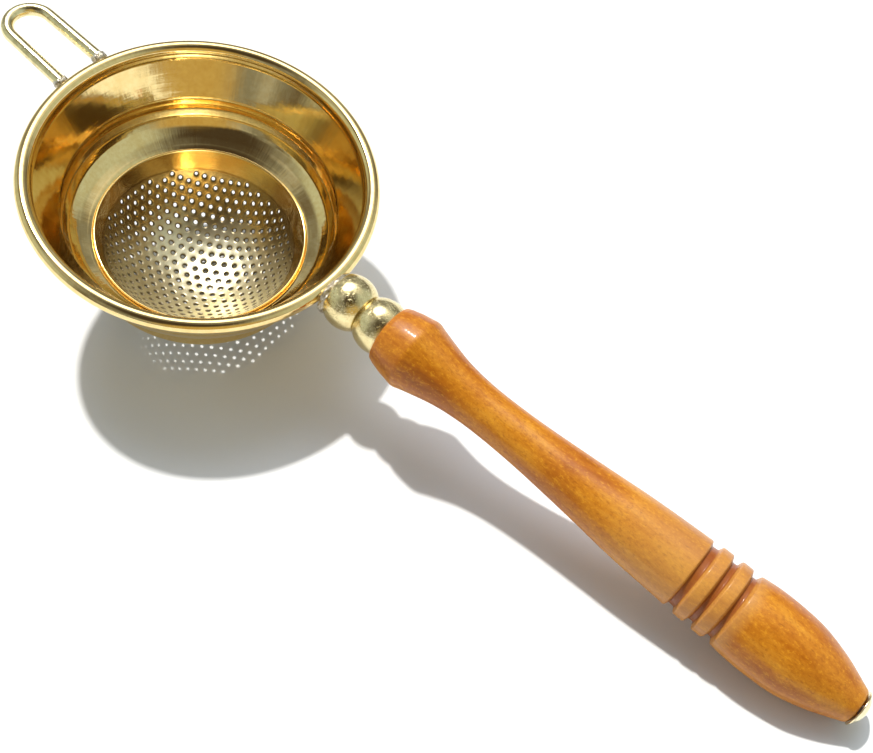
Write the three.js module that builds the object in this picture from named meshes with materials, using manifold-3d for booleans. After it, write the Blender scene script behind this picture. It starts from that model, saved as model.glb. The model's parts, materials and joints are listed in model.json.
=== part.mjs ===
// Brass tea strainer with a turned wooden handle, lying at rest on its dome and the swell of its handle.
// Millimetres and degrees, +Z up, +X from the bowl towards the handle's butt. The origin is on the
// surface that the strainer lies on, below the middle of its length and width.
import * as THREE from "three";
import { mergeVertices } from "three/addons/utils/BufferGeometryUtils.js";
import Module from "manifold-3d";

// ---- Driving dimensions ----

const GAP = 0.3; // clearance between neighbouring pieces

// The bowl's own frame: origin at the centre of the rim wire's ring, +Z up the bowl's axis, +X to the
// handle. It is tipped by REST_TILT about Y, and the rim's centre is REST_HEIGHT above the surface.
const REST_TILT = 11.443; // so that the dome and the swell of the handle both touch the surface
const REST_HEIGHT = 36.665;

// Bowl: spun sheet, curled outwards over a wire.
const RIM_RADIUS = 37.5;
const BEAD_RADIUS = 1.6;
const BEAD_CENTRE = RIM_RADIUS - BEAD_RADIUS;
const SHEET = 0.55;
const RIM_WIRE_RADIUS = 0.72;
const CURL_STEPS = 9; // equal steps of the curl, before the flat that closes it
const CURL_FROM = 200; // where the wall runs into the curl, degrees round the bead
const CURL_TO = -70;
const CURL_END = -110; // the curl's last step is level, so that the rim rests flat on a cup
const BOWL_WALL = [
  [23.5, -19.85], // inner edge of the floor, round the dome
  [26.4, -18.5],
  [28.4, -16.9],
  [29.7, -15.1],
  [30.2, -13.2],
  [30.15, -11.4],
  [29.75, -9.3], // nose of the shoulder
  [34.2, -1.75], // crease below the bead
];

// Upright ring under the bowl's floor. Its top edge is in the floor's sheet.
const FOOT_RING = { inside: 25.1, outside: 25.6, bottom: -25.2, top: -19.1 };

// Strainer dome: a punched cap of a sphere, with a plain border and a small lip.
const DOME_SHEET = 0.5;
const DOME_RADIUS = 23.1; // outer face
const DOME_BOTTOM = -36.94;
const DOME_CENTRE = DOME_BOTTOM + DOME_RADIUS;
const DOME_EDGE = 66; // where the cap ends, degrees from its pole
const LIP_RADIUS = 22.9;
const LIP_HEIGHT = -19.5;
const HOLE_PITCH = 3.6;
const HOLE_RADIUS = 0.75;
const HOLE_FIELD = 24.2; // longest way from the pole to a hole, along the sheet
const SEAM_RADIUS = 23.0;
const SEAM_HEIGHT = -21.0;
const SEAM_WIRE = 0.4;

// Hanging loop: round wire bent to a U, its feet against the rim.
const LOOP_WIRE = 1.4;
const LOOP_SWING = 2.6; // how far the loop stands off the handle's line
const LOOP_FOOT = 37.9; // distances from the bowl's axis
const LOOP_BEND = 53.8;
const LOOP_FOOT_HALF = 5.3; // half the distance between the legs' centre lines
const LOOP_BEND_HALF = 5.0;
const LOOP_SOLDER_LENGTH = 3.2;
const LOOP_SOLDER_RADIUS = 2.35;
const LOOP_SOLDER_START = 1.2; // how far it reaches back from the foot, over the bead
const LOOP_SOLDER_SHOULDER = 0.4; // where its taper begins, beyond the foot
const LOOP_SOLDER_TIP = 0.15; // wall left at its thin end

// Handle's line: it starts at the rim's outer edge, a little below the rim wire, and rises slightly
// from the rim's plane. Stations along it are distances from that start.
const LINE_DROP = 1.2;
const LINE_RISE = 1.26;
const BALL_RADIUS = 5.9;
const BALL_1 = 4.17;
const BALL_2 = 12.26;
const BALL_1_FACE = 1.0; // flat that is soldered to the rim
const NECK = (BALL_1 + BALL_2) / 2;
const BALL_2_FOOT = 17.2;
const RIM_SOLDER_HALF = [2.4, 5.6, 4.7]; // half sizes along the line, across it and up
const RIM_SOLDER_AT = 0.3;
const TANG_RADIUS = 1.5;
const TANG_START = 2.5;
const TANG_END = 60;

// Turned handle, as [station, radius].
const WOOD_FACE = 14.6;
const WOOD_FLARE = [[14.6, 6.0], [15.3, 6.55], [17.6, 7.3], [20.0, 7.75], [21.6, 7.92]];
const WOOD_BODY = [
  [21.6, 7.92], [25.6, 6.88], [31.2, 5.6], [37.0, 4.98], [42.3, 4.87],
  [51.4, 5.13], [64.3, 6.05], [77.0, 7.1], [89.2, 7.65],
];
const WOOD_GROOVES = [[89.2, 91.5], [93.9, 95.9], [98.3, 100.3]];
const WOOD_BEADS = [7.9, 8.0]; // radii of the two beads between the grooves
const GROOVE_FLOOR = 6.7;
const GROOVE_SLOPE = 0.5; // length that each side of a groove takes
const WOOD_BULB = [
  [100.3, 8.0], [104.4, 8.4], [108.6, 8.4], [114.0, 8.0], [117.6, 7.2],
  [121.2, 6.1], [124.2, 4.9], [127.2, 3.6],
];
const BUTT = 127.2;
const TACK_HOLE = 113.5;
const TACK_RADIUS = 0.6;
const CAP_RADIUS = 3.85;
const CAP_SHEET = 0.5;
const CAP_CROWN = 129.3;
const CAP_FLAT = 1.15; // radius of its nearly flat middle
const CAP_SHOULDER = 2.6; // radius where it starts to turn down
const CAP_EDGE = 0.3; // height of its upright edge
const TACK_POINT = 2.5;
const TACK_HEAD_RADIUS = 1.0;
const TACK_HEAD = 0.4;

// Facets round each turned piece.
const BOWL_SIDES = 36;
const DOME_SIDES = 24;
const DOME_RINGS = 6;
const WOOD_SIDES = 20;
const BALL_SIDES = 18;
const CAP_SIDES = 20;
const WIRE_SIDES = 10;

// ---- Materials ----

const metal = (color, roughness) =>
  new THREE.MeshStandardMaterial({ color, roughness, metalness: 1 });
const brass = metal(0xd9b25a, 0.18);
const paleBrass = metal(0xcfc08a, 0.25);
const solder = metal(0xa9a7a0, 0.45);
const steel = metal(0x8f8f8c, 0.35);
const wood = new THREE.MeshStandardMaterial({ color: 0xb8691a, roughness: 0.3, metalness: 0 });

// ---- Shape helpers ----

const wasm = await Module();
wasm.setup();
const rad = THREE.MathUtils.degToRad;

// Manifold solid of a closed geometry, and back.
function solidOf(geometry) {
  const bare = geometry.index ? geometry.toNonIndexed() : geometry.clone();
  bare.deleteAttribute("normal");
  bare.deleteAttribute("uv");
  const merged = mergeVertices(bare, 1e-4);
  return new wasm.Manifold(
    new wasm.Mesh({
      numProp: 3,
      vertProperties: merged.attributes.position.array,
      triVerts: new Uint32Array(merged.index.array),
    }),
  );
}
function geometryOf(solid) {
  const mesh = solid.getMesh();
  const geometry = new THREE.BufferGeometry();
  geometry.setAttribute("position", new THREE.BufferAttribute(mesh.vertProperties, 3));
  geometry.setIndex(new THREE.BufferAttribute(mesh.triVerts, 1));
  return geometry;
}

// Body turned from a [radius, height] outline that closes on itself or starts and ends on the axis.
// It stands along +Y, as LatheGeometry makes it.
function turned(outline, sides) {
  const points = outline.map(([r, h]) => new THREE.Vector2(r, h));
  if (THREE.ShapeUtils.area(points) < 0) points.reverse();
  if (points[0].x > 0) points.push(points[0].clone());
  return new THREE.LatheGeometry(points, sides);
}
const alongZ = (geometry) => geometry.rotateX(Math.PI / 2); // turned about the bowl's axis
const alongX = (geometry) => geometry.rotateZ(-Math.PI / 2); // turned about the handle's line

// Outline of a sheet of even thickness, from its middle line.
function sheetOutline(middle, thickness) {
  const points = middle.map(([r, h]) => new THREE.Vector2(r, h));
  const side = (sign) =>
    points.map((point, i) => {
      const before = points[Math.max(i - 1, 0)];
      const after = points[Math.min(i + 1, points.length - 1)];
      const into = point.clone().sub(before).normalize();
      const out = after.clone().sub(point).normalize();
      const along = into.clone().add(out).normalize();
      const turn = i > 0 && i < points.length - 1 ? into.dot(along) : 1;
      const reach = ((sign * thickness) / 2) / turn;
      return [point.x - along.y * reach, point.y + along.x * reach];
    });
  return [...side(1), ...side(-1).reverse()];
}

// Points round an arc of a circle, as [x, y].
function arc(x, y, radius, from, to, steps) {
  return Array.from({ length: steps + 1 }, (_, i) => {
    const angle = rad(from + ((to - from) * i) / steps);
    return [x + radius * Math.cos(angle), y + radius * Math.sin(angle)];
  });
}

// Points along a smooth curve through the given ones.
function smooth(through, steps) {
  const curve = new THREE.SplineCurve(through.map(([x, y]) => new THREE.Vector2(x, y)));
  return curve.getPoints(steps).map((point) => [point.x, point.y]);
}

const swap = (points) => points.map(([station, radius]) => [radius, station]);

// The bead of the rim with the clearance round it, as a cutter.
function beadCutter() {
  return solidOf(
    new THREE.TorusGeometry(BEAD_CENTRE, BEAD_RADIUS + GAP, 16, 96).toNonIndexed(),
  );
}

// ---- Groups ----

const strainer = new THREE.Group();
const bowlFrame = new THREE.Group();
bowlFrame.rotation.y = rad(REST_TILT);
bowlFrame.position.z = REST_HEIGHT;
strainer.add(bowlFrame);

const handleLine = new THREE.Group();
handleLine.position.set(RIM_RADIUS, 0, -LINE_DROP);
handleLine.rotation.y = rad(-LINE_RISE);
bowlFrame.add(handleLine);

const loopFrame = new THREE.Group();
loopFrame.rotation.z = rad(180 - LOOP_SWING);
bowlFrame.add(loopFrame);

function add(group, name, geometry, material) {
  const mesh = new THREE.Mesh(geometry, material);
  mesh.name = name;
  group.add(mesh);
}

// ---- Bowl and strainer ----

function bowlShell() {
  const radius = BEAD_RADIUS - SHEET / 2;
  const curl = [
    ...arc(BEAD_CENTRE, 0, radius, CURL_FROM, CURL_TO, CURL_STEPS),
    ...arc(BEAD_CENTRE, 0, radius, CURL_TO, CURL_END, 1).slice(1),
  ];
  const wall = alongZ(turned(sheetOutline([...BOWL_WALL, ...curl], SHEET), BOWL_SIDES));
  const { inside, outside, bottom, top } = FOOT_RING;
  const section = [[inside, bottom], [outside, bottom], [outside, top], [inside, top]];
  const foot = alongZ(turned(section, BOWL_SIDES));
  return geometryOf(solidOf(wall).add(solidOf(foot)));
}

function ring(radius, wire, height, sides, steps) {
  return new THREE.TorusGeometry(radius, wire, sides, steps).translate(0, 0, height);
}

// Middle line of the dome's sheet, from its lip to its pole.
function domeMiddle() {
  const radius = DOME_RADIUS - DOME_SHEET / 2;
  const cap = arc(0, DOME_CENTRE, radius, DOME_EDGE - 90, -90, DOME_RINGS);
  return [[LIP_RADIUS - DOME_SHEET / 2, LIP_HEIGHT], ...cap];
}

// Punched holes: a triangular lattice, wrapped round the sphere by distance from the pole.
function holeCutters() {
  const rows = Math.ceil(HOLE_FIELD / HOLE_PITCH) + 2;
  const cutters = [];
  const middle = DOME_RADIUS - DOME_SHEET / 2;
  for (let i = -rows; i <= rows; i++) {
    for (let j = -rows; j <= rows; j++) {
      const x = HOLE_PITCH * (i + j / 2);
      const y = HOLE_PITCH * j * Math.sin(rad(60));
      const way = Math.hypot(x, y);
      if (way > HOLE_FIELD) continue;
      const punch = new THREE.CylinderGeometry(HOLE_RADIUS, HOLE_RADIUS, DOME_SHEET * 4, 4);
      punch.translate(0, -middle, 0).rotateX(Math.PI / 2);
      punch.rotateY(-way / middle).rotateZ(Math.atan2(y, x));
      cutters.push(solidOf(punch.translate(0, 0, DOME_CENTRE)));
    }
  }
  return wasm.Manifold.union(cutters);
}

function strainerDome() {
  const outline = sheetOutline(domeMiddle(), DOME_SHEET);
  const onAxis = outline.map(([r, h]) => [Math.abs(r) < DOME_SHEET / 4 ? 0 : r, h]);
  return geometryOf(solidOf(alongZ(turned(onAxis, DOME_SIDES))).subtract(holeCutters()));
}

add(bowlFrame, "bowl_shell", bowlShell(), brass);
add(bowlFrame, "rim_wire", ring(BEAD_CENTRE, RIM_WIRE_RADIUS, 0, 6, BOWL_SIDES), steel);
add(bowlFrame, "strainer_dome", strainerDome(), paleBrass);
add(bowlFrame, "dome_seam_solder", ring(SEAM_RADIUS, SEAM_WIRE, SEAM_HEIGHT, 6, 36), solder);

// ---- Hanging loop ----

// Middle line of the loop's wire: one leg, half a turn, the other leg.
class LoopLine extends THREE.Curve {
  getPoint(t, target = new THREE.Vector3()) {
    const leg = Math.hypot(LOOP_BEND - LOOP_FOOT, LOOP_FOOT_HALF - LOOP_BEND_HALF);
    const bend = Math.PI * LOOP_BEND_HALF;
    const way = t * (2 * leg + bend);
    if (way < leg || way > leg + bend) {
      const first = way < leg;
      const along = first ? way / leg : (2 * leg + bend - way) / leg;
      const half = THREE.MathUtils.lerp(LOOP_FOOT_HALF, LOOP_BEND_HALF, along);
      const x = THREE.MathUtils.lerp(LOOP_FOOT, LOOP_BEND, along);
      return target.set(x, first ? -half : half, 0);
    }
    const angle = ((way - leg) / bend) * Math.PI - Math.PI / 2;
    const x = LOOP_BEND + LOOP_BEND_HALF * Math.cos(angle);
    return target.set(x, LOOP_BEND_HALF * Math.sin(angle), 0);
  }
}

function loopWire() {
  const section = new THREE.Shape().absarc(0, 0, LOOP_WIRE, 0, 2 * Math.PI);
  return new THREE.ExtrudeGeometry(section, {
    steps: 28,
    curveSegments: WIRE_SIDES / 2,
    extrudePath: new LoopLine(),
  });
}

// Soft solder round one foot of the loop, tapering along the wire and hollowed by the bead.
function loopSolder(side) {
  const inside = LOOP_WIRE + GAP;
  const start = LOOP_FOOT - LOOP_SOLDER_START;
  const end = start + LOOP_SOLDER_LENGTH;
  const collar = alongX(
    turned(
      [
        [inside, start],
        [LOOP_SOLDER_RADIUS, start],
        [LOOP_SOLDER_RADIUS, LOOP_FOOT + LOOP_SOLDER_SHOULDER],
        [inside + LOOP_SOLDER_TIP, end],
        [inside, end],
      ],
      WIRE_SIDES,
    ),
  );
  return geometryOf(solidOf(collar.translate(0, side * LOOP_FOOT_HALF, 0)).subtract(beadCutter()));
}

add(loopFrame, "hanging_loop", loopWire(), brass);
add(loopFrame, "loop_solder_left", loopSolder(1), solder);
add(loopFrame, "loop_solder_right", loopSolder(-1), solder);

// ---- Balls, tang and solder on the handle's line ----

// Arc of a ball's outline between two stations, as [radius, station].
function ballArc(centre, from, to, steps) {
  const angle = (station) => THREE.MathUtils.radToDeg(Math.asin((station - centre) / BALL_RADIUS));
  return arc(0, centre, BALL_RADIUS, angle(from), angle(to), steps);
}

function ferruleBall() {
  const bore = TANG_RADIUS + GAP;
  const end = NECK - GAP / 2;
  return alongX(
    turned(
      [
        [0, BALL_1_FACE],
        ...ballArc(BALL_1, BALL_1_FACE, end, 10),
        [bore, end],
        [bore, TANG_START - GAP],
        [0, TANG_START - GAP],
      ],
      BALL_SIDES,
    ),
  );
}

function ferruleBarrel() {
  const bore = TANG_RADIUS + GAP;
  const start = NECK + GAP / 2;
  return alongX(
    turned(
      [[bore, start], ...ballArc(BALL_2, start, BALL_2_FOOT, 10), [bore, BALL_2_FOOT]],
      BALL_SIDES,
    ),
  );
}

function tangRod() {
  return alongX(
    turned([[0, TANG_START], [TANG_RADIUS, TANG_START], [TANG_RADIUS, TANG_END], [0, TANG_END]], 10),
  );
}

// Lump of solder between the bead and the first ball, hollowed by both.
function rimSolder() {
  const lump = new THREE.SphereGeometry(1, 16, 10).scale(...RIM_SOLDER_HALF).translate(RIM_SOLDER_AT, 0, 0);
  const ball = new THREE.SphereGeometry(BALL_RADIUS + GAP, 20, 12).translate(BALL_1, 0, 0);
  const reach = 4 * BALL_RADIUS;
  const behind = new THREE.BoxGeometry(reach, reach, reach).translate(BALL_1_FACE - GAP + reach / 2, 0, 0);
  const face = solidOf(behind);
  const toLine = new THREE.Matrix4().makeRotationY(rad(LINE_RISE));
  toLine.multiply(new THREE.Matrix4().makeTranslation(-RIM_RADIUS, 0, LINE_DROP));
  const bead = new THREE.TorusGeometry(BEAD_CENTRE, BEAD_RADIUS + GAP, 12, 60).applyMatrix4(toLine);
  const cut = solidOf(lump).subtract(solidOf(ball).intersect(face)).subtract(solidOf(bead));
  return geometryOf(cut);
}

add(handleLine, "rim_solder", rimSolder(), solder);
add(handleLine, "ferrule_ball", ferruleBall(), brass);
add(handleLine, "ferrule_barrel", ferruleBarrel(), brass);
add(handleLine, "tang_rod", tangRod(), brass);

// ---- Wooden handle, cap and tack ----

function handleBody() {
  const seat = Math.sqrt(BALL_RADIUS ** 2 - (WOOD_FACE - BALL_2) ** 2) + GAP;
  const bore = TANG_RADIUS + GAP;
  const tackBore = TACK_RADIUS + GAP;
  const grooves = WOOD_GROOVES.flatMap(([from, to], i) => {
    const floor = [[from + GROOVE_SLOPE, GROOVE_FLOOR], [to - GROOVE_SLOPE, GROOVE_FLOOR]];
    const bead = WOOD_BEADS[i];
    return bead ? [...floor, [to, bead], [WOOD_GROOVES[i + 1][0], bead]] : floor;
  });
  const outside = [
    ...smooth(WOOD_FLARE, 5),
    ...smooth(WOOD_BODY, 14).slice(1),
    ...grooves,
    ...smooth(WOOD_BULB, 11),
  ];
  return alongX(
    turned(
      [
        [0, TANG_END + GAP],
        [bore, TANG_END + GAP],
        [bore, BALL_2_FOOT + GAP],
        [seat, BALL_2_FOOT + GAP],
        [seat, WOOD_FACE],
        ...swap(outside),
        [tackBore, BUTT],
        [tackBore, TACK_HOLE],
        [0, TACK_HOLE],
      ],
      WOOD_SIDES,
    ),
  );
}

// Domed disc with its edge against the butt.
function endCap() {
  const edge = BUTT + GAP;
  const inside = CAP_CROWN - CAP_SHEET;
  const crown = [
    [CAP_RADIUS, edge],
    [CAP_RADIUS, edge + CAP_EDGE],
    [CAP_SHOULDER, inside],
    [CAP_FLAT, CAP_CROWN],
    [0, CAP_CROWN],
  ];
  const hollow = [
    [0, inside],
    [CAP_FLAT, inside],
    [CAP_SHOULDER - CAP_SHEET, inside - CAP_SHEET],
    [CAP_RADIUS - 1.5 * CAP_SHEET, edge],
  ];
  return alongX(turned([...crown, ...hollow], CAP_SIDES));
}

// Tack: a small head inside the cap and a pointed shank in the end grain.
function endTack() {
  const head = CAP_CROWN - CAP_SHEET - GAP;
  const outline = [
    [0, TACK_HOLE + GAP],
    [TACK_RADIUS, TACK_HOLE + TACK_POINT],
    [TACK_RADIUS, head - TACK_HEAD],
    [TACK_HEAD_RADIUS, head - TACK_HEAD],
    [TACK_HEAD_RADIUS, head],
    [0, head],
  ];
  return alongX(turned(outline, WIRE_SIDES));
}

add(handleLine, "handle_body", handleBody(), wood);
add(handleLine, "end_cap", endCap(), brass);
add(handleLine, "end_tack", endTack(), steel);

// ---- Place the strainer over the origin ----

const box = new THREE.Box3().setFromObject(strainer, true);
bowlFrame.position.x = -(box.min.x + box.max.x) / 2;

export default strainer;
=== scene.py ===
"""Looks of a brass tea strainer with a turned wooden handle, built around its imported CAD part.

Metres, +Z up, +X from the bowl towards the handle's butt. Shapes are written in millimetres in three
frames of their own: the bowl's (Z along its axis, X towards the handle), the loop's, and the line's
(Z along the handle, from the rim's outer edge to the butt).
"""

import json
import math
import random

import bmesh
import bpy
from mathutils import Matrix, Vector, geometry, noise


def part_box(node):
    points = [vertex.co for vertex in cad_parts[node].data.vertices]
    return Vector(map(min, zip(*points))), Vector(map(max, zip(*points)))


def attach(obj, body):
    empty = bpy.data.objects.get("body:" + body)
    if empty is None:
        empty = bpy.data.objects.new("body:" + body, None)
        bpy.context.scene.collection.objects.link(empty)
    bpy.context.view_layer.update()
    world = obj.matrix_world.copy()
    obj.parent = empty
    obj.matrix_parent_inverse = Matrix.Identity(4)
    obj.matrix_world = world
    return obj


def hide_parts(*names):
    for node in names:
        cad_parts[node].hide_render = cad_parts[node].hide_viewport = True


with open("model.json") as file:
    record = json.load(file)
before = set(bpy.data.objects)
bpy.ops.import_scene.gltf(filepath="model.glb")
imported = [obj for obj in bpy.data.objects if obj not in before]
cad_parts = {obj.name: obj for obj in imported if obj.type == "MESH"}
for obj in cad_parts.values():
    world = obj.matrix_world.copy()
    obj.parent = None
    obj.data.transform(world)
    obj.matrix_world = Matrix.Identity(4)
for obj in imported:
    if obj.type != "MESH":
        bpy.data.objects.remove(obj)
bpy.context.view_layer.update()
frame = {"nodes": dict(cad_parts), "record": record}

MM = 0.001

# ---- The three frames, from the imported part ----

RIM_RADIUS = 37.5
LINE_DROP = 1.2
LINE_RISE = 1.26
LOOP_SWING = 2.6

rim_rest = next(m for m in frame["record"]["mounts"] if m["name"] == "rim_rest")
bowl_up = -Vector(rim_rest["axis"])
rim_low, rim_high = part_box("rim_wire")
rim_centre = (rim_low + rim_high) / 2
bowl_turn = Matrix.Rotation(math.atan2(bowl_up.x, bowl_up.z), 4, "Y")
BOWL = Matrix.Translation(rim_centre) @ bowl_turn
LINE = (
    BOWL
    @ Matrix.Translation((RIM_RADIUS * MM, 0, -LINE_DROP * MM))
    @ Matrix.Rotation(math.radians(90 - LINE_RISE), 4, "Y")
)
LOOP = BOWL @ Matrix.Rotation(math.radians(180 - LOOP_SWING), 4, "Z")

# ---- Outlines ----

END_STEPS = 4


def arc(x, y, radius, start, end, steps):
    """Points round a circle, from one angle to another, in degrees."""
    points = []
    for i in range(steps + 1):
        angle = math.radians(start + (end - start) * i / steps)
        points.append((x + radius * math.cos(angle), y + radius * math.sin(angle)))
    return points


def filleted(corners, turn_per_step=5.0):
    """An open line through (x, y, fillet radius) corners, each rounded off by its radius."""
    points = []
    for i, (x, y, radius) in enumerate(corners):
        here = Vector((x, y))
        if not radius or i in (0, len(corners) - 1):
            points.append((x, y))
            continue
        before = (Vector(corners[i - 1][:2]) - here).normalized()
        after = (Vector(corners[i + 1][:2]) - here).normalized()
        half = before.angle(after) / 2
        reach = radius / math.tan(half)
        centre = here + (before + after).normalized() * radius / math.sin(half)
        start = here + before * reach - centre
        turn = start.angle_signed(here + after * reach - centre)
        steps = max(2, math.ceil(abs(math.degrees(turn)) / turn_per_step))
        for k in range(steps + 1):
            spoke = start.copy()
            spoke.rotate(Matrix.Rotation(-turn * k / steps, 2))
            points.append(tuple(centre + spoke))
    return points


def around(ring):
    """Each item of a closed ring with the one after it."""
    return zip(ring, ring[1:] + ring[:1])


def spline(through, pieces):
    """Points of a smooth curve through the given ones, without overshoot between close points."""
    points = [Vector(p) for p in through]
    ends = [2 * points[0] - points[1], *points, 2 * points[-1] - points[-2]]
    out = []
    for a, b, c, d in zip(ends, ends[1:], ends[2:], ends[3:]):
        knots = [0.0]
        for p, q in ((a, b), (b, c), (c, d)):
            knots.append(knots[-1] + (q - p).length ** 0.5)
        for k in range(pieces):
            t = knots[1] + (knots[2] - knots[1]) * k / pieces
            out.append(tuple(centripetal(a, b, c, d, knots, t)))
    out.append(tuple(points[-1]))
    return out


def centripetal(a, b, c, d, knots, t):
    """The point at t of the curve that runs from b to c."""
    def mix(p, q, t0, t1):
        return p * ((t1 - t) / (t1 - t0)) + q * ((t - t0) / (t1 - t0))

    t0, t1, t2, t3 = knots
    ab, bc, cd = mix(a, b, t0, t1), mix(b, c, t1, t2), mix(c, d, t2, t3)
    return mix(mix(ab, bc, t0, t2), mix(bc, cd, t1, t3), t1, t2)


def sheet_sides(middle, thickness):
    """The two faces of a sheet, from its middle line: left of the line, then right of it."""
    points = [Vector(p) for p in middle]
    sides = ([], [])
    for i, point in enumerate(points):
        along = (points[min(i + 1, len(points) - 1)] - points[max(i - 1, 0)]).normalized()
        across = Vector((-along.y, along.x)) * thickness / 2
        sides[0].append(tuple(point + across))
        sides[1].append(tuple(point - across))
    return sides


def rounded_end(side_a, side_b):
    """The half circle that closes a sheet from the last point of one face to that of the other."""
    a, b = Vector(side_a[-1]), Vector(side_b[-1])
    centre = (a + b) / 2
    spoke = a - centre
    outward = (Vector(side_a[-1]) - Vector(side_a[-2])).normalized() * spoke.length
    points = []
    for k in range(1, END_STEPS):
        angle = math.pi * k / END_STEPS
        points.append(tuple(centre + spoke * math.cos(angle) + outward * math.sin(angle)))
    return points


def sheet_outline(middle, thickness):
    """Closed outline of a sheet with rounded edges, from its middle line."""
    left, right = sheet_sides(middle, thickness)
    far = rounded_end(left, right)
    near = rounded_end(right[::-1], left[::-1])
    return [*left, *far, *right[::-1], *near]


# ---- Meshes ----

ON_AXIS = 1e-6
BLOB_DETAIL = 5


def new_piece(name, verts, faces, place, crease):
    """A smooth-shaded object from vertices in millimetres, in one of the three frames. Edges that
    turn by more than crease degrees stay sharp."""
    mesh = bpy.data.meshes.new(name)
    mesh.from_pydata([place @ (Vector(v) * MM) for v in verts], [], faces)
    mesh.validate()
    mesh.shade_smooth()
    mesh.set_sharp_from_angle(angle=math.radians(crease))
    piece = bpy.data.objects.new(name, mesh)
    bpy.context.collection.objects.link(piece)
    return piece


def lathe(name, outline, sides, place, closed=True, wobble=None, crease=35):
    """A body turned about Z from (radius, height) points. wobble(angle, radius, height) adds to the
    radius. An outline that isn't closed starts and ends on the axis."""
    verts, rings, faces = [], [], []
    for radius, height in outline:
        if radius < ON_AXIS:
            rings.append([len(verts)] * sides)
            verts.append((0, 0, height))
            continue
        rings.append(list(range(len(verts), len(verts) + sides)))
        for k in range(sides):
            angle = 2 * math.pi * k / sides
            r = radius + (wobble(angle, radius, height) if wobble else 0)
            verts.append((r * math.cos(angle), r * math.sin(angle), height))
    pairs = list(zip(rings, rings[1:]))
    if closed:
        pairs.append((rings[-1], rings[0]))
    for low, high in pairs:
        for k in range(sides):
            m = (k + 1) % sides
            face = list(dict.fromkeys((low[k], low[m], high[m], high[k])))
            if len(face) > 2:
                faces.append(face)
    area = sum(a[0] * b[1] - b[0] * a[1] for a, b in around(outline))
    if area < 0:
        faces = [face[::-1] for face in faces]
    return new_piece(name, verts, faces, place, crease)


def tube(name, line, radius, sides, place):
    """A round wire along points that lie in the XY plane, closed flat at its ends."""
    points = [Vector((*p, 0)) for p in line]
    verts, rings, faces = [], [], []
    for i, point in enumerate(points):
        along = (points[min(i + 1, len(points) - 1)] - points[max(i - 1, 0)]).normalized()
        across = Vector((-along.y, along.x, 0))
        rings.append(list(range(len(verts), len(verts) + sides)))
        for k in range(sides):
            angle = 2 * math.pi * k / sides
            spoke = across * math.cos(angle) + Vector((0, 0, 1)) * math.sin(angle)
            verts.append(point + spoke * radius)
    for low, high in zip(rings, rings[1:]):
        for k in range(sides):
            m = (k + 1) % sides
            faces.append((low[m], low[k], high[k], high[m]))
    faces.append(rings[0])
    faces.append(rings[-1][::-1])
    return new_piece(name, verts, faces, place, crease=60)


def blob(name, place, centre, size, lumps, seed):
    """A lump of solder: a ball stretched to size and pushed in and out by noise."""
    shape = bmesh.new()
    bmesh.ops.create_icosphere(shape, subdivisions=BLOB_DETAIL, radius=1.0)
    offset = Vector((seed * 7.3, seed * 3.1, seed * 5.7))
    for v in shape.verts:
        way = v.co.copy()
        coarse = noise.noise(way * 2.2 + offset)
        fine = noise.noise(way * 7.0 + offset)
        grit = noise.noise(way * 17.0 + offset)
        push = 1 + lumps * (coarse + 0.45 * fine + 0.2 * grit)
        v.co = place @ (Vector([c + w * s * push for c, w, s in zip(centre, way, size)]) * MM)
    mesh = bpy.data.meshes.new(name)
    shape.to_mesh(mesh)
    shape.free()
    mesh.shade_smooth()
    piece = bpy.data.objects.new(name, mesh)
    bpy.context.collection.objects.link(piece)
    return piece


# ---- Node helpers ----


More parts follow.
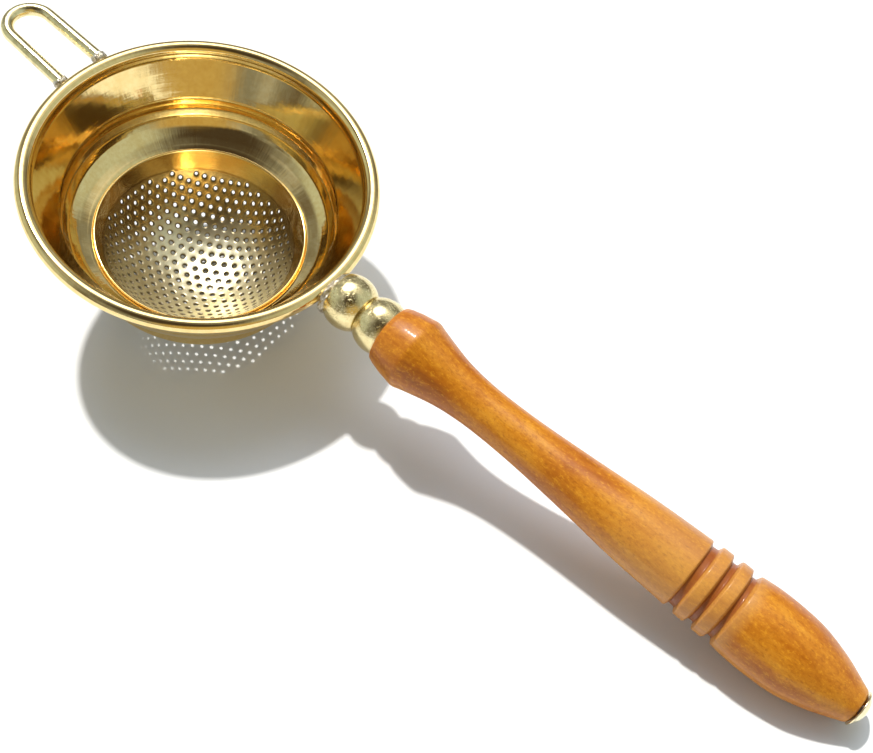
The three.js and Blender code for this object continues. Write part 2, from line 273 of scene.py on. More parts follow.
class Nodes:
    """Builds a material's nodes, in one of the three frames. Calls return output sockets."""

    def __init__(self, name, place=Matrix.Identity(4)):
        self.material = bpy.data.materials.new(name)
        self.material.use_nodes = True
        self.tree = self.material.node_tree
        self.shader = self.tree.nodes["Principled BSDF"]
        coordinates = self.tree.nodes.new("ShaderNodeTexCoord")
        mapping = self.tree.nodes.new("ShaderNodeMapping")
        into_frame = place.inverted()
        mapping.inputs["Location"].default_value = into_frame.translation
        mapping.inputs["Rotation"].default_value = into_frame.to_euler()
        self.tree.links.new(coordinates.outputs["Object"], mapping.inputs["Vector"])
        self.place = mapping.outputs["Vector"]

    def feed(self, socket, value):
        if isinstance(value, bpy.types.NodeSocket):
            self.tree.links.new(value, socket)
        elif value is not None:
            socket.default_value = value

    def math(self, operation, a, b=None):
        node = self.tree.nodes.new("ShaderNodeMath")
        node.operation = operation
        self.feed(node.inputs[0], a)
        self.feed(node.inputs[1], b)
        return node.outputs[0]

    def scaled(self, vector, scale):
        node = self.tree.nodes.new("ShaderNodeVectorMath")
        node.operation = "MULTIPLY"
        self.feed(node.inputs[0], vector)
        node.inputs[1].default_value = scale
        return node.outputs[0]

    def split(self, vector):
        node = self.tree.nodes.new("ShaderNodeSeparateXYZ")
        self.feed(node.inputs[0], vector)
        return node.outputs

    def joined(self, x, y, z):
        node = self.tree.nodes.new("ShaderNodeCombineXYZ")
        for socket, value in zip(node.inputs, (x, y, z)):
            self.feed(socket, value)
        return node.outputs[0]

    def turned(self):
        """Radius, height, and cosine and sine of the turn, for a piece turned about Z."""
        x, y, z = self.split(self.place)
        squares = self.math("ADD", self.math("MULTIPLY", x, x), self.math("MULTIPLY", y, y))
        radius = self.math("SQRT", squares)
        safe = self.math("MAXIMUM", radius, 1e-5)
        return radius, z, self.math("DIVIDE", x, safe), self.math("DIVIDE", y, safe)

    def noise(self, vector, scale, detail, rough, bend=0.0):
        """Cloudy noise from 0 to 1, with about scale clouds to each unit of the vector."""
        node = self.tree.nodes.new("ShaderNodeTexNoise")
        self.feed(node.inputs["Vector"], vector)
        node.inputs["Scale"].default_value = scale
        node.inputs["Detail"].default_value = detail
        node.inputs["Roughness"].default_value = rough
        node.inputs["Distortion"].default_value = bend
        return node.outputs["Fac"]

    def cells(self, vector, scale):
        """How far the surface is from the middle of its cell, in cells."""
        node = self.tree.nodes.new("ShaderNodeTexVoronoi")
        self.feed(node.inputs["Vector"], vector)
        node.inputs["Scale"].default_value = scale
        return node.outputs["Distance"]

    def distance(self, point):
        """How far the surface is from a point of the piece's frame."""
        node = self.tree.nodes.new("ShaderNodeVectorMath")
        node.operation = "DISTANCE"
        self.feed(node.inputs[0], self.place)
        node.inputs[1].default_value = Vector(point) * MM
        return node.outputs["Value"]

    def attribute(self, name):
        node = self.tree.nodes.new("ShaderNodeAttribute")
        node.attribute_name = name
        return node.outputs["Fac"]

    def ramp(self, value, stops):
        node = self.tree.nodes.new("ShaderNodeValToRGB")
        elements = node.color_ramp.elements
        while len(elements) < len(stops):
            elements.new(0.5)
        for element, (at, color) in zip(elements, stops):
            element.position = at
            element.color = (*color, 1)
        self.feed(node.inputs[0], value)
        return node.outputs[0]

    def span(self, value, low, high, to_low=0.0, to_high=1.0, smooth=False):
        """The value, carried over from low..high to to_low..to_high and kept inside them."""
        node = self.tree.nodes.new("ShaderNodeMapRange")
        node.interpolation_type = "SMOOTHSTEP" if smooth else "LINEAR"
        for socket, number in zip(node.inputs[:5], (value, low, high, to_low, to_high)):
            self.feed(socket, number)
        return node.outputs[0]

    def band(self, value, rise, fall, smooth=False):
        """1 between a rising and a falling edge, each given by where it is 0 and where it is 1."""
        up, down = self.span(value, *rise, smooth=smooth), self.span(value, *fall, smooth=smooth)
        return self.math("MULTIPLY", up, down)

    def mix(self, factor, a, b):
        node = self.tree.nodes.new("ShaderNodeMix")
        node.data_type = "RGBA"
        self.feed(node.inputs["Factor"], factor)
        for socket, value in ((node.inputs[6], a), (node.inputs[7], b)):
            self.feed(socket, (*value, 1) if isinstance(value, tuple) else value)
        return node.outputs[2]

    def bump(self, height, depth, strength, over=None):
        """A normal from a height of 0 to 1 that stands for depth metres, on top of another normal."""
        node = self.tree.nodes.new("ShaderNodeBump")
        node.inputs["Strength"].default_value = strength
        node.inputs["Distance"].default_value = depth
        self.feed(node.inputs["Height"], height)
        self.feed(node.inputs["Normal"], over)
        return node.outputs[0]

    def finish(self, color, roughness, normal=None, **constants):
        """The material. constants go straight to the shader's own sockets."""
        self.feed(self.shader.inputs["Base Color"], color)
        self.feed(self.shader.inputs["Roughness"], roughness)
        self.feed(self.shader.inputs["Normal"], normal)
        for key, value in constants.items():
            self.shader.inputs[key.replace("_", " ")].default_value = value
        return self.material


class Sky(Nodes):
    """The same calls for the light that surrounds the scene, by direction."""

    def __init__(self, world):
        self.tree = world.node_tree
        coordinates = self.tree.nodes.new("ShaderNodeTexCoord")
        self.place = coordinates.outputs["Generated"]

    def near(self, way, inner, outer):
        """1 within inner degrees of a direction, 0 beyond outer degrees."""
        node = self.tree.nodes.new("ShaderNodeVectorMath")
        node.operation = "DOT_PRODUCT"
        self.feed(node.inputs[0], self.place)
        node.inputs[1].default_value = Vector(way).normalized()
        full, none = math.cos(math.radians(inner)), math.cos(math.radians(outer))
        return self.span(node.outputs["Value"], none, full, smooth=True)

    def is_backdrop(self):
        """1 where the surroundings are seen directly, past the strainer and its floor."""
        return self.tree.nodes.new("ShaderNodeLightPath").outputs["Is Camera Ray"]

    def is_soft_light(self):
        """1 for the light that the surroundings shed on matt surfaces."""
        return self.tree.nodes.new("ShaderNodeLightPath").outputs["Is Diffuse Ray"]


# ---- Metals and wood ----


def turned_brass(name, place, bright, dull, rough, rings=0.4, streaks=0.0, pits=0.0, dull_share=0.5):
    """Polished turned brass: rings from the lathe, streaks from polishing, pits and dull patches."""
    n = Nodes(name, place)
    radius, height, cos_turn, sin_turn = n.turned()
    profile = n.joined(n.math("ADD", radius, height), n.math("SUBTRACT", radius, height), 0.0)
    ring_marks = n.noise(profile, 2600, 4.0, 0.7)
    ring_waves = n.noise(profile, 500, 2.0, 0.5)
    round_turn = n.joined(cos_turn, sin_turn, n.math("MULTIPLY", height, 6.0))
    streak_marks = n.noise(round_turn, 16, 3.0, 0.6)
    patches = n.noise(n.place, 220, 4.0, 0.6)
    specks = n.noise(n.place, 2600, 3.0, 0.65)
    scratches = n.noise(n.scaled(n.place, (1.0, 0.12, 0.5)), 5200, 2.0, 0.5)
    dulled = n.span(patches, 0.42, 0.72, 0.0, dull_share, True)
    color = n.mix(dulled, bright, dull)
    tired = n.span(n.noise(n.place, 900, 3.0, 0.6), 0.3, 0.75, 0.0, 0.35, True)
    color = n.mix(tired, color, dull)
    ring_roughness = n.span(ring_marks, 0.3, 0.7, rough * 0.7, rough * 1.5)
    roughness = n.math("ADD", ring_roughness, n.math("MULTIPLY", dulled, 0.08))
    normal = n.bump(ring_marks, 4e-6, rings)
    normal = n.bump(ring_waves, 4e-5, rings * 0.6, normal)
    normal = n.bump(scratches, 2.0e-6, 0.35, normal)
    if streaks:
        normal = n.bump(streak_marks, 2.2e-4, streaks, normal)
    if pits:
        holes = n.span(specks, 0.28, 0.46, 0.0, 1.0, True)
        normal = n.bump(holes, 7e-5, pits, normal)
    return n.finish(color, roughness, normal, Metallic=1.0)


def punched_brass():
    """Sheet brass: pale in one part, a painted highlight, and darker golden beyond it, painted shade;
    painted shade round the punched holes, and dark where the polished golden collar begins."""
    n = Nodes("dome_brass", BOWL)
    from_field = n.distance(pressed(*FIELD_CENTRE, 0, -1))
    collar = n.span(from_field, *COLLAR_EDGE, smooth=True)
    edge = n.band(from_field, COLLAR_EDGE, COLLAR_LINE_END, smooth=True)
    patches = n.noise(n.place, 260, 4.0, 0.6)
    grit = n.noise(n.place, 2400, 3.0, 0.65)
    color = n.ramp(patches, [(0.35, (0.78, 0.70, 0.46)), (0.65, (0.93, 0.87, 0.64))])
    # Painted highlight: pale near this point. Painted shade: darker golden beyond it.
    golden = n.span(n.distance(pressed(*DOME_PAINTED_HIGHLIGHT, 0, -1)), *DOME_PAINTED_HIGHLIGHT_EDGE, smooth=True)
    color = n.mix(n.math("MULTIPLY", golden, 0.9), color, (0.42, 0.28, 0.09))
    color = n.mix(n.span(grit, 0.5, 0.75, 0.0, 0.4, True), color, (0.50, 0.43, 0.26))
    color = n.mix(collar, color, (0.84, 0.60, 0.24))
    color = n.mix(n.math("MULTIPLY", edge, 0.7), color, (0.30, 0.17, 0.05))
    # Painted shade round each punched hole, darkest at its edge.
    painted_hole_shade = n.attribute("painted_hole_shade")
    color = n.mix(n.math("MULTIPLY", painted_hole_shade, 0.9), color, (0.10, 0.07, 0.03))
    sheet_roughness = n.span(golden, 0.0, 1.0, 0.38, 0.24)
    clean_roughness = n.span(collar, 0.0, 1.0, sheet_roughness, 0.10)
    roughness = n.math("ADD", clean_roughness, n.math("MULTIPLY", painted_hole_shade, 0.15))
    normal = n.bump(grit, 1.2e-5, 0.6)
    normal = n.bump(n.noise(n.place, 420, 2.0, 0.5), 5e-5, 0.35, normal)
    return n.finish(color, roughness, normal, Metallic=1.0)


def wire_brass():
    """Drawn wire, polished by hand: short scratches along it and a few dull spots."""
    n = Nodes("wire_brass", LOOP)
    marks = n.noise(n.scaled(n.place, (0.12, 1.0, 1.0)), 3600, 3.0, 0.6)
    spots = n.span(n.noise(n.place, 700, 4.0, 0.6), 0.45, 0.7, 0.0, 0.75, True)
    color = n.mix(spots, (0.84, 0.72, 0.40), (0.50, 0.40, 0.18))
    roughness = n.span(marks, 0.3, 0.7, 0.10, 0.24)
    normal = n.bump(marks, 8e-6, 0.6)
    normal = n.bump(n.noise(n.place, 420, 2.0, 0.5), 5e-5, 0.4, normal)
    return n.finish(color, roughness, normal, Metallic=1.0)


def solder_metal():
    """Soft solder: dull lilac grey with a crystalline skin, brassy where it thins out."""
    n = Nodes("solder_metal")
    grain = n.cells(n.place, 2100)
    lumps = n.noise(n.place, 1300, 4.0, 0.65)
    color = n.ramp(lumps, [
        (0.32, (0.20, 0.15, 0.09)),
        (0.5, (0.50, 0.44, 0.33)),
        (0.68, (0.74, 0.70, 0.62)),
    ])
    roughness = n.span(grain, 0.0, 0.6, 0.22, 0.5)
    normal = n.bump(lumps, 2.2e-4, 0.8)
    normal = n.bump(grain, 9e-5, 0.8, normal)
    return n.finish(color, roughness, normal, Metallic=1.0)


def steel_wire():
    """Plain steel of the wire inside the bead and of the tack."""
    n = Nodes("steel_wire")
    marks = n.noise(n.scaled(n.place, (1.0, 0.2, 1.0)), 2800, 3.0, 0.6)
    color = n.ramp(marks, [(0.3, (0.30, 0.29, 0.28)), (0.7, (0.52, 0.51, 0.50))])
    return n.finish(color, n.span(marks, 0.3, 0.7, 0.3, 0.5), n.bump(marks, 8e-6, 0.5), Metallic=1.0)


def lacquered_wood():
    """Honey-amber lacquer over a pale hardwood, with grain along the handle and marks of the lathe."""
    n = Nodes("lacquered_wood", LINE)
    radius, station, cos_turn, sin_turn = n.turned()
    wander = n.noise(n.place, 45, 2.0, 0.5)
    long_way = n.scaled(n.place, (1.0, 1.0, 0.07))
    clouds = n.noise(n.scaled(n.place, (1.0, 1.0, 0.30)), 150, 3.0, 0.55, 0.4)
    veins = n.noise(n.scaled(n.place, (1.0, 1.0, 0.18)), 800, 4.0, 0.6, 0.25)
    fibres = n.noise(long_way, 4200, 3.0, 0.65)
    flecks = n.noise(n.scaled(n.place, (1.0, 1.0, 0.16)), 2600, 2.0, 0.5)
    wrapped = n.scaled(n.joined(cos_turn, sin_turn, station), (4.0, 4.0, 900.0))
    figure = n.noise(wrapped, 1.0, 3.0, 0.6)
    tone = n.math("ADD", n.math("MULTIPLY", clouds, 0.66), n.math("MULTIPLY", veins, 0.34))
    tone = n.math("ADD", tone, n.math("MULTIPLY", n.math("SUBTRACT", wander, 0.5), 0.35))
    color = n.ramp(tone, [
        (0.24, (0.23, 0.056, 0.003)),
        (0.40, (0.40, 0.112, 0.004)),
        (0.54, (0.53, 0.185, 0.008)),
        (0.70, (0.63, 0.270, 0.022)),
    ])
    mottle = n.noise(n.scaled(n.place, (1.0, 1.0, 0.62)), 1700, 3.0, 0.7)
    color = n.mix(n.span(mottle, 0.50, 0.70, 0.0, 0.55, True), color, (0.32, 0.085, 0.003))
    color = n.mix(n.span(mottle, 0.46, 0.34, 0.0, 0.35, True), color, (0.78, 0.37, 0.02))
    color = n.mix(n.span(fibres, 0.55, 0.78, 0.0, 0.35, True), color, (0.26, 0.055, 0.002))
    color = n.mix(n.span(flecks, 0.66, 0.80, 0.0, 0.55, True), color, (0.16, 0.030, 0.002))
    color = n.mix(n.span(figure, 0.5, 0.8, 0.0, 0.25, True), color, (0.66, 0.28, 0.02))
    rubbed = n.band(station, RUBBED_START, RUBBED_END, smooth=True)
    color = n.mix(n.math("MULTIPLY", rubbed, 0.34), color, (0.56, 0.31, 0.11))
    # Painted shade: the wood is darker on the groove floors.
    deep = n.span(radius, *GROOVE_DEPTH, smooth=True)
    painted_groove_shade = n.math("MULTIPLY", deep, n.band(station, GROOVES_START, GROOVES_END))
    color = n.mix(n.math("MULTIPLY", painted_groove_shade, 0.75), color, (0.22, 0.036, 0.002))
    rings = n.noise(n.joined(station, 0.0, 0.0), 1500, 2.0, 0.5)
    skin = n.noise(n.place, 900, 2.0, 0.5)
    normal = n.bump(fibres, 1.2e-5, 0.5)
    normal = n.bump(rings, 2.2e-5, 0.7, normal)
    coat = n.bump(rings, 1.6e-5, 0.6)
    coat = n.bump(skin, 2.0e-5, 0.6, coat)
    n.feed(n.shader.inputs["Coat Normal"], coat)
    roughness = n.span(veins, 0.3, 0.7, 0.34, 0.5)
    return n.finish(
        color, roughness, normal,
        Metallic=0.0, Coat_Weight=0.32, Coat_Roughness=0.10, Coat_IOR=1.4, Specular_IOR_Level=0.2,
    )


# ---- Bowl ----

SHEET = 0.55
BEAD_CENTRE = 35.9
BEAD_RADIUS = 1.6
BEAD_START = 34.2
BOWL_SIDES = 240
BOWL_WAVE = 0.05
BOWL_RIPPLE = 0.012
FOOT_SHEET = 0.5
FOOT_RADIUS = 25.35
FOOT_BOTTOM = -25.2
FOOT_TOP = -19.1
FOOT_END = 0.3  # length of the short piece at each end that its rounded edge starts from


def make_bowl():
    wall = filleted([
        (23.35, -19.85, 0),
        (24.6, -19.35, 4),
        (26.4, -18.5, 6),
        (28.4, -16.95, 4),
        (29.7, -15.1, 3),
        (30.2, -13.2, 3),
        (30.15, -11.4, 4),
        (29.7, -9.25, 0.9),
        (34.2, -1.75, 0.45),
        (34.62, -0.55, 0),
    ])
    curl = arc(BEAD_CENTRE, 0, BEAD_RADIUS - SHEET / 2, 196, -112, 64)
    outline = sheet_outline([*wall, *curl], SHEET)

    def wobble(angle, radius, height):
        """Slight waves round the sheet, as hand finishing leaves them. The bead stays true."""
        if radius > BEAD_START:
            return 0.0
        spot = Vector((math.cos(angle), math.sin(angle), height * 0.03))
        return BOWL_WAVE * noise.noise(spot * 2.5) + BOWL_RIPPLE * noise.noise(spot * 11)

    return lathe("spun_bowl", outline, BOWL_SIDES, BOWL, wobble=wobble, crease=50)


def make_foot_ring():
    """Upright ring under the bowl's floor, with its top edge in the floor's sheet."""
    heights = (FOOT_BOTTOM, FOOT_BOTTOM + FOOT_END, FOOT_TOP - FOOT_END, FOOT_TOP)
    middle = [(FOOT_RADIUS, height) for height in heights]
    return lathe("foot_ring", sheet_outline(middle, FOOT_SHEET), BOWL_SIDES, BOWL)


# ---- Perforated dome ----

DOME_SHEET = 0.5
DOME_RADIUS = 23.1
DOME_LOWEST = -36.94
DOME_CENTRE = DOME_LOWEST + DOME_RADIUS
DOME_SIDES = 168
DOME_MIDDLE = DOME_RADIUS - DOME_SHEET / 2
CONE_START = 60.5  # degrees from the pole, where the sphere runs on as a cone
BORDER = 29.6  # way from the pole along the sheet, where the lip begins
ROW_A = (2.47, 31.0)  # pitch and direction of two rows of holes
ROW_B = (2.66, 89.0)
FIRST_HOLE = (0.27, -1.33)
FIELD_CENTRE = (0.5, -1.3)
HOLE_FIELD = 26.4
HOLE_RADIUS = 0.47
LATTICE_REACH = 14
CELL_SLACK = 1e-3
PUNCH_SEED = 11
PUNCH_SHIFT = 0.05
PUNCH_SIZE = (0.94, 1.06)
PUNCH_DEPTH = (0.8, 1.2)
PUNCH_RINGS = [  # radius, dent and painted shade round a hole, from its cell inwards
    (0.98, 0.0, 0.0),
    (0.82, 0.015, 0.0),
    (0.70, 0.05, 0.55),
    (0.56, 0.12, 1.0),
    (HOLE_RADIUS, 0.2, 1.0),
]
OUTER_DENT = 0.3  # how much of a dent shows on the outer face
COLLAR_EDGE = (0.0250, 0.0253)  # metres from the middle of the hole field
COLLAR_LINE_END = (0.0258, 0.0253)
DOME_PAINTED_HIGHLIGHT = (8.5, -8.5)  # middle of the pale, matt part: a painted highlight
DOME_PAINTED_HIGHLIGHT_EDGE = (0.0180, 0.0275)  # metres from it, where the painted highlight gives way to painted shade


def hole_places():
    """Centres of the holes on the flat sheet, and the two steps of their lattice."""
    step_a, step_b = (
        Vector((math.cos(math.radians(turn)), math.sin(math.radians(turn)))) * pitch
        for pitch, turn in (ROW_A, ROW_B)
    )
    centres = []
    reach = range(-LATTICE_REACH, LATTICE_REACH + 1)
    for i in reach:
        for j in reach:
            centre = Vector(FIRST_HOLE) + step_a * i + step_b * j
            if (centre - Vector(FIELD_CENTRE)).length < HOLE_FIELD:
                centres.append(centre)
    return centres, step_a, step_b


def cell_corners(step_a, step_b):
    """Corners and middles of the sides of one lattice cell, as offsets from its hole, in order."""
    ways = [step_a, step_b, step_b - step_a, -step_a, -step_b, step_a - step_b]
    offsets = []
    for way, following in around(ways):
        offsets.append(way / 2)
        offsets.append((way + following) / 3)
    return offsets


def flat_dome():
    """The punched sheet before pressing: points as (x, y, dent, painted shade), faces, hole edges,
    border.
    """
    centres, step_a, step_b = hole_places()
    corners = cell_corners(step_a, step_b)
    points, faces, holes, cells = punched_cells(centres, corners)
    first = len(points)
    points.extend((x, y, 0.0, 0.0) for x, y in border_ring())
    border = list(range(first, len(points)))
    faces.extend(plain_faces(points, cells, border, centres, corners))
    return points, faces, holes, border


def punched_cells(centres, corners):
    """Points, faces, hole edges and cell outlines of the lattice, each cell round its punched hole."""
    chance = random.Random(PUNCH_SEED)
    points, index, faces, holes, cells = [], {}, [], [], []

    def shared(at):
        key = (round(at.x, 3), round(at.y, 3))
        if key not in index:
            index[key] = len(points)
            points.append((at.x, at.y, 0.0, 0.0))
        return index[key]

    for centre in centres:
        rings = [[shared(centre + corner) for corner in corners]]
        middle = centre + Vector((chance.uniform(-1, 1), chance.uniform(-1, 1))) * PUNCH_SHIFT
        size = chance.uniform(*PUNCH_SIZE)
        depth = chance.uniform(*PUNCH_DEPTH)
        for radius, dent, painted_hole_shade in PUNCH_RINGS:
            ring = []
            for corner in corners:
                at = middle + corner.normalized() * radius * size
                ring.append(len(points))
                points.append((at.x, at.y, dent * depth, painted_hole_shade))
            rings.append(ring)
        for wide, narrow in zip(rings, rings[1:]):
            for (a, b), (c, d) in zip(around(wide), around(narrow)):
                faces.append((a, b, d, c))
        holes.append(rings[-1])
        cells.append(rings[0])
    return points, faces, holes, cells


def plain_faces(points, cells, border, centres, corners):
    """Triangles of the plain sheet between the outermost cells and the border."""
    seen = {}
    for cell in cells:
        for pair in around(cell):
            seen[frozenset(pair)] = seen.get(frozenset(pair), 0) + 1
    cell_edges = [tuple(pair) for pair, count in seen.items() if count == 1]
    used = sorted({v for pair in cell_edges for v in pair}) + border
    where = {v: k for k, v in enumerate(used)}
    loops = [(where[a], where[b]) for a, b in [*cell_edges, *around(border)]]
    flat = [Vector(points[v][:2]) for v in used]
    made = geometry.delaunay_2d_cdt(flat, loops, [], 0, 1e-6)
    origin = [used[source[0]] for source in made[3]]
    faces = []
    for tri in made[2]:
        middle = sum((made[0][v] for v in tri), Vector((0, 0))) / len(tri)
        if not any(in_cell(middle - centre, corners) for centre in centres):
            faces.append(tuple(origin[v] for v in tri))
    return faces


def in_cell(offset, corners):
    """True if a point, as an offset from a hole, lies inside the hole's cell or on its edge."""
    for a, b in around(corners):
        if (b - a).cross(offset - a) < -CELL_SLACK:
            return False
    return True


def border_ring():
    """The circle on the flat sheet where the lip begins."""
    turns = [2 * math.pi * k / DOME_SIDES for k in range(DOME_SIDES)]
    return [(BORDER * math.cos(turn), BORDER * math.sin(turn)) for turn in turns]


def pressed(x, y, dent, side):
    """A point of the flat sheet on the pressed dome. side is +1 on its outer face, -1 inside."""
    way = math.hypot(x, y)
    angle = min(way / DOME_MIDDLE, math.radians(CONE_START))
    past = way - DOME_MIDDLE * angle
    radius = DOME_MIDDLE + side * DOME_SHEET / 2 + (dent if side < 0 else dent * OUTER_DENT)
    turn = math.atan2(y, x)
    flat = radius * math.sin(angle) + past * math.cos(angle)
    height = DOME_CENTRE - radius * math.cos(angle) + past * math.sin(angle)
    return flat * math.cos(turn), flat * math.sin(turn), height


def make_dome():
    points, faces, holes, border = flat_dome()
    count = len(points)
    verts = [pressed(*p[:3], -1) for p in points] + [pressed(*p[:3], 1) for p in points]
    every = faces + [tuple(v + count for v in face[::-1]) for face in faces]
    for hole in holes:
        every.extend((a, b, b + count, a + count) for a, b in around(hole))
    inner, outer = lip_lines()
    rings = [border]
    for radius, height in [*inner, *reversed(outer)]:
        rings.append(list(range(len(verts), len(verts) + DOME_SIDES)))
        for k in range(DOME_SIDES):
            angle = 2 * math.pi * k / DOME_SIDES
            verts.append((radius * math.cos(angle), radius * math.sin(angle), height))
    rings.append([v + count for v in border])
    for low, high in zip(rings, rings[1:]):
        for (a, b), (c, d) in zip(around(low), around(high)):
            every.append((b, a, c, d))
    dome = new_piece("perforated_dome", verts, every, BOWL, 50)
    # Painted shade round the holes, kept on each point of both faces.
    painted_hole_shade = dome.data.attributes.new("painted_hole_shade", "FLOAT", "POINT")
    for k, point in enumerate(points):
        painted_hole_shade.data[k].value = point[3]
        painted_hole_shade.data[k + count].value = point[3]
    return dome


def lip_lines():
    """(radius, height) points of the lip's inner face, with its rounded edge, and of its outer one."""
    line = filleted([(22.72, -20.05, 0), (22.93, -19.68, 0.3), (23.0, -19.4, 0)])
    left, right = sheet_sides(line, DOME_SHEET)
    return [*left, *rounded_end(left, right)], right


# ---- Loop ----

LOOP_WIRE = 1.4
LOOP_FOOT = 37.9
LOOP_BEND = 53.8
LOOP_FOOT_HALF = 5.3
LOOP_BEND_HALF = 5.0
LEG_STEPS = 24


def make_loop():
    line = []
    for k in range(LEG_STEPS):
        share = k / LEG_STEPS
        half = LOOP_FOOT_HALF + (LOOP_BEND_HALF - LOOP_FOOT_HALF) * share
        line.append((LOOP_FOOT + (LOOP_BEND - LOOP_FOOT) * share, -half))
    bend = arc(LOOP_BEND, 0, LOOP_BEND_HALF, -90, 90, 48)
    back = [(x, -y) for x, y in reversed(line)]
    return tube("wire_loop", [*line, *bend, *back], LOOP_WIRE, 40, LOOP)


# ---- Balls ----

BALL_RADIUS = 5.9
BALL_1 = 4.17
BALL_2 = 12.26
BALL_1_FACE = 1.0
BALL_2_FOOT = 17.2
NECK = (BALL_1 + BALL_2) / 2
NECK_HALF = 0.16
NECK_GAP = 0.04
NECK_RADIUS = 4.15
BORE = 1.8
BALL_1_CORE = 2.2
BALL_SIDES = 96


def ball_arc(centre, start, end, steps):
    """(radius, station) points of a ball's outline."""
    first = math.degrees(math.asin((start - centre) / BALL_RADIUS))
    last = math.degrees(math.asin((end - centre) / BALL_RADIUS))
    return arc(0, centre, BALL_RADIUS, first, last, steps)


def make_balls():
    first = [
        (0, BALL_1_FACE),
        *ball_arc(BALL_1, BALL_1_FACE, NECK - NECK_HALF, 40),
        (NECK_RADIUS, NECK - NECK_GAP),
        (BORE, NECK - NECK_GAP),
        (BORE, BALL_1_CORE),
        (0, BALL_1_CORE),
    ]
    second = [
        (BORE, NECK + NECK_GAP),
        (NECK_RADIUS, NECK + NECK_GAP),
        *ball_arc(BALL_2, NECK + NECK_HALF, BALL_2_FOOT, 44),
        (BORE, BALL_2_FOOT),
    ]
    return (
        lathe("rim_ball", first, BALL_SIDES, LINE, closed=False),
        lathe("handle_ball", second, BALL_SIDES, LINE),
    )


# ---- Handle ----

WOOD_SIDES = 128
WOOD_WAVE = 0.05
MOUTH = 5.72
MOUTH_START = 14.6
MOUTH_FLOOR = 17.5
TANG_END = 60.3
GROOVE_FLOOR = 6.7
BUTT = 127.2
TACK_BORE = 0.9
TACK_END = 113.5
CAP_SHEET = 0.34
CAP_RADIUS = 3.85
CAP_BUCKLE = 0.1
# Where the wood is rubbed paler and where painted shade darkens the grooves, in metres along the line
# or out from it: where each is 0 and where it is 1.
RUBBED_START = (0.066, 0.086)
RUBBED_END = (0.1035, 0.1005)
GROOVES_START = (0.0889, 0.0893)
GROOVES_END = (0.1007, 0.1003)
GROOVE_DEPTH = (0.00725, 0.0068)


def make_handle():
    flare = filleted([
        (6.0, 14.6, 0.0), (6.35, 14.75, 0.25), (6.75, 15.7, 1.5), (7.35, 17.9, 12),
        (7.75, 20.2, 6), (8.02, 21.6, 3.0), (7.3, 24.0, 0),
    ])[:-1]
    body = [(r, s) for s, r in spline([
        (22.9, 7.6), (25.6, 6.88), (31.2, 5.6), (37.0, 4.98), (42.3, 4.87),
        (51.4, 5.13), (64.3, 6.05), (77.0, 7.1), (88.6, 7.64),
    ], 7)]
    edge, root = 0.42, 0.35
    grooves = filleted([
        (7.64, 88.6, 0), (7.65, 89.3, edge),
        (GROOVE_FLOOR, 89.75, root), (GROOVE_FLOOR + 0.1, 91.0, root),
        (7.86, 91.55, edge), (7.9, 93.85, edge),
        (GROOVE_FLOOR, 94.4, root), (GROOVE_FLOOR, 95.4, root),
        (8.0, 95.95, edge), (8.0, 98.25, edge),
        (GROOVE_FLOOR + 0.1, 98.8, root), (GROOVE_FLOOR + 0.15, 99.7, root),
        (7.98, 100.3, edge), (8.1, 101.2, 0),
    ], 12)
    bulb = [(r, s) for s, r in spline([
        (101.2, 8.1), (104.4, 8.38), (108.6, 8.4), (114.0, 8.0), (117.6, 7.2),
        (121.2, 6.1), (124.2, 4.9), (127.0, 3.72),
    ], 7)]
    outline = [
        (0, TANG_END), (BORE, TANG_END),
        (BORE, MOUTH_FLOOR), (MOUTH - 0.35, MOUTH_FLOOR), (MOUTH, MOUTH_START),
        *flare, *body, *grooves[1:-1], *bulb,
        (3.4, BUTT), (TACK_BORE, BUTT), (TACK_BORE, TACK_END), (0, TACK_END),
    ]

    def wobble(angle, radius, station):
        """Hand turning leaves the handle a little out of round."""
        if radius < 4.0:
            return 0.0
        spot = Vector((math.cos(angle), math.sin(angle), station * 0.05))
        return WOOD_WAVE * noise.noise(spot * 1.7)

    return lathe("turned_handle", outline, WOOD_SIDES, LINE, closed=False, wobble=wobble, crease=40)


def make_cap():
    """Thin pressed disc on the butt, a little buckled at its edge."""
    middle = spline([(0.0, 129.05), (1.3, 128.95), (2.5, 128.45), (3.3, 127.85), (3.6, 127.7)], 5)
    left, right = sheet_sides(middle, CAP_SHEET)
    left[0], right[0] = (0, left[0][1]), (0, right[0][1])
    outline = [*left, *rounded_end(left, right), *right[::-1]]

    def wobble(angle, radius, _):
        buckle = noise.noise(Vector((math.cos(angle), math.sin(angle), 0)) * 1.5)
        return CAP_BUCKLE * (radius / CAP_RADIUS) ** 3 * buckle

    return lathe("butt_cap", outline, 72, LINE, closed=False, wobble=wobble, crease=50)


# ---- Put the pieces in place ----


def dress(piece, material, slot, *nodes):
    """Gives a new piece its finish, and lets it stand for its CAD nodes on the strainer's one body."""
    piece.data.materials.append(material)
    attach(piece, "root")
    if nodes:
        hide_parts(*nodes)


def repaint(node, material):
    """Gives a CAD node, kept as it is, a finish like that of the new pieces."""
    slots = frame["nodes"][node].data.materials
    slots.clear()
    slots.append(material)


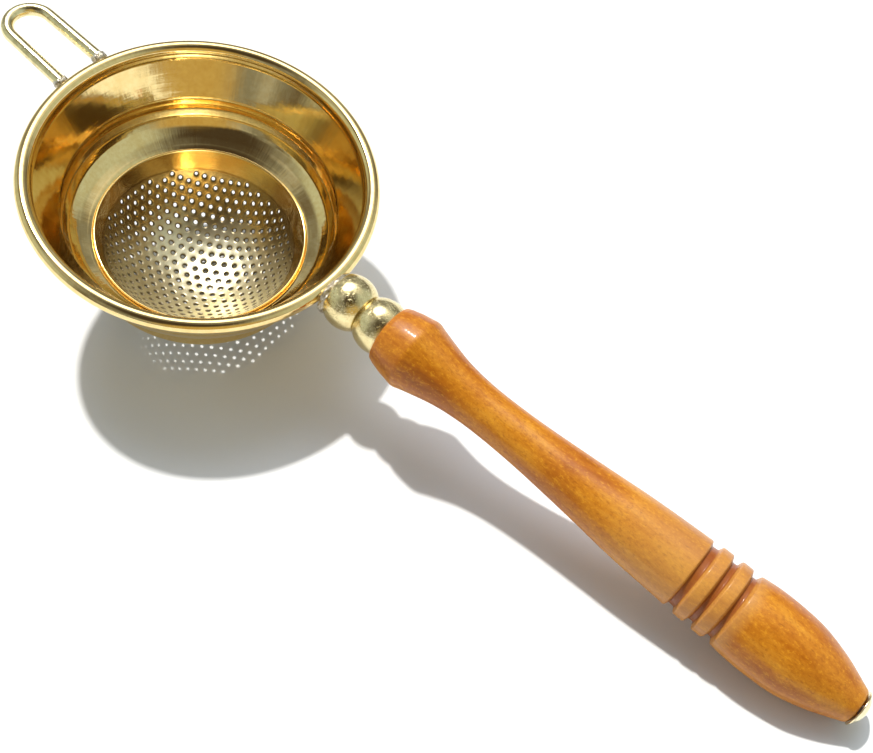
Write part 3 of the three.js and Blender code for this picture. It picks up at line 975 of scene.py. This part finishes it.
def build_strainer():
    bowl_brass = turned_brass(
        "bowl_brass", BOWL, bright=(0.90, 0.70, 0.33), dull=(0.74, 0.48, 0.14), rough=0.06,
        streaks=0.16, dull_share=0.35,
    )
    ball_brass = turned_brass(
        "ball_brass", LINE, bright=(0.88, 0.74, 0.40), dull=(0.60, 0.46, 0.20), rough=0.17,
        rings=1.4, pits=0.5,
    )
    cap_brass = turned_brass(
        "cap_brass", LINE, bright=(0.90, 0.80, 0.52), dull=(0.66, 0.54, 0.28), rough=0.14,
    )
    solder = solder_metal()
    steel = steel_wire()

    dress(make_bowl(), bowl_brass, "bowl_brass", "bowl_shell")
    dress(make_foot_ring(), bowl_brass, "bowl_brass")
    dress(make_dome(), punched_brass(), "dome_brass", "strainer_dome")
    dress(make_loop(), wire_brass(), "wire_brass", "hanging_loop")
    rim_ball, handle_ball = make_balls()
    dress(rim_ball, ball_brass, "ball_brass", "ferrule_ball")
    dress(handle_ball, ball_brass, "ball_brass", "ferrule_barrel")
    dress(make_handle(), lacquered_wood(), "handle_wood", "handle_body")
    dress(make_cap(), cap_brass, "cap_brass", "end_cap")

    lump = blob("rim_solder_lump", LINE, (0.5, -0.4, 0.3), (4.3, 4.9, 1.7), 0.12, 3)
    dress(lump, solder, "solder", "rim_solder")
    right = blob("loop_foot_right", LOOP, (38.0, -LOOP_FOOT_HALF, 0.0), (1.7, 1.7, 1.5), 0.11, 5)
    dress(right, solder, "solder", "loop_solder_right")
    left = blob("loop_foot_left", LOOP, (37.8, LOOP_FOOT_HALF, -0.1), (1.5, 1.65, 1.45), 0.11, 8)
    dress(left, solder, "solder", "loop_solder_left")

    repaint("dome_seam_solder", solder)
    repaint("rim_wire", steel)
    repaint("end_tack", steel)
    repaint("tang_rod", cap_brass)


# ---- Floor, light and camera ----

SUN_WAY = (-0.362, 0.207, 0.909)
SUN_STRENGTH = 3.3
SUN_SPREAD = 2.5
SUN_COLOR = (1.0, 0.985, 0.96)
ROOM_TONES = [(0.36, (0.14, 0.115, 0.08)), (0.52, (0.27, 0.285, 0.28)), (0.66, (0.52, 0.55, 0.56))]
ROOM_PATCHES = [  # direction, degrees from it where a patch is full and where it ends, colour
    ((0.354, -0.468, 0.81), 12, 40, (0.07, 0.055, 0.04)),  # shade
    ((-0.78, -0.55, 0.30), 20, 42, (0.58, 0.66, 0.64)),  # cool panel, left
    ((0.80, 0.45, 0.35), 24, 48, (0.58, 0.66, 0.64)),  # cool panel, right
    ((0.77, -0.60, 0.22), 12, 35, (0.60, 0.46, 0.19)),  # warm panel, in front
    ((0.14, 0.50, 0.86), 9, 24, (0.85, 0.87, 0.86)),  # pale ceiling
    ((-0.30, 0.36, 0.88), 13, 23, (2.8, 2.95, 3.1)),  # soft box round the sun
]
SOFT_LIGHT = (1.05, 1.09, 1.20)  # how much of the room's light reaches matt surfaces
BACKDROP = (0.80, 0.82, 0.84)
CAMERA_PLACE = (0.09679, -0.11366, 0.21822)
CAMERA_TARGET = (0.00125, 0.01245, 0.0)
CAMERA_ROLL = 1.93
LENS = 49.97


def build_floor():
    bpy.ops.mesh.primitive_circle_add(vertices=96, radius=3.0, fill_type="NGON", location=(0, 0, 0))
    floor = bpy.context.object
    floor.name = "floor"
    n = Nodes("floor_paint")
    soft = n.noise(n.place, 3.0, 2.0, 0.5)
    color = n.ramp(soft, [(0.3, (0.80, 0.80, 0.79)), (0.7, (0.82, 0.82, 0.81))])
    floor.data.materials.append(n.finish(color, 0.75, Specular_IOR_Level=0.15))


def build_light():
    sun = bpy.data.lights.new("sun", "SUN")
    sun.energy = SUN_STRENGTH
    sun.angle = math.radians(SUN_SPREAD)
    sun.color = SUN_COLOR
    lamp = bpy.data.objects.new("sun", sun)
    lamp.rotation_mode = "QUATERNION"
    lamp.rotation_quaternion = Vector(SUN_WAY).to_track_quat("Z", "Y")
    bpy.context.collection.objects.link(lamp)

    world = bpy.data.worlds.new("studio")
    bpy.context.scene.world = world
    world.use_nodes = True
    background = world.node_tree.nodes["Background"]
    sky = Sky(world)
    room = sky.ramp(sky.noise(sky.place, 2.3, 2.0, 0.5), ROOM_TONES)
    for way, full, end, color in ROOM_PATCHES:
        room = sky.mix(sky.near(way, full, end), room, color)
    room = sky.mix(sky.is_soft_light(), room, sky.scaled(room, SOFT_LIGHT))
    sky.feed(background.inputs["Color"], sky.mix(sky.is_backdrop(), room, BACKDROP))
    background.inputs["Strength"].default_value = 1.0


def build_camera():
    data = bpy.data.cameras.new("camera")
    data.sensor_width = 36.0
    data.lens = LENS
    data.clip_start, data.clip_end = 0.01, 20.0
    camera = bpy.data.objects.new("camera", data)
    way = Vector(CAMERA_TARGET) - Vector(CAMERA_PLACE)
    turn = way.to_track_quat("-Z", "Y").to_matrix().to_4x4()
    roll = Matrix.Rotation(math.radians(CAMERA_ROLL), 4, "Z")
    camera.matrix_world = Matrix.Translation(CAMERA_PLACE) @ turn @ roll
    bpy.context.collection.objects.link(camera)
    bpy.context.scene.camera = camera


build_strainer()
build_floor()
build_light()
build_camera()
bpy.context.scene.view_settings.view_transform = "Standard"

bpy.context.view_layer.update()
